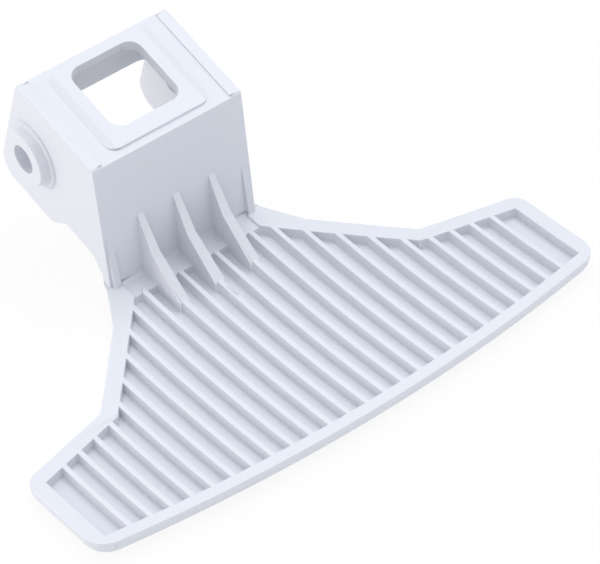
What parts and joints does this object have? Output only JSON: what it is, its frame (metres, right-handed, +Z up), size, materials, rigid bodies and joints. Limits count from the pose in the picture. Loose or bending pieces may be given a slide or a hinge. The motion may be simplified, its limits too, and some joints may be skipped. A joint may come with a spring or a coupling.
{
  "type": "tumble dryer door handle",
  "caption": "White moulded door handle: a wing-shaped pull with a rim and a comb of ribs, gusseted to a hollow hinge housing with a window and a pivot boss on each side.",
  "frame": {"origin": "on the hinge axis, midway between the side walls of the housing", "axes": "+X along the hinge axis; the pulling edge is towards -Y; +Z up, with the handle lying on the smooth outside of its wing"},
  "size_m": [0.125, 0.0998, 0.0437],
  "materials": {
    "white_plastic": "satin cool white, lightly moulded"
  },
  "bodies": {
    "root": {"handle": "white_plastic"}
  },
  "joints": []
}
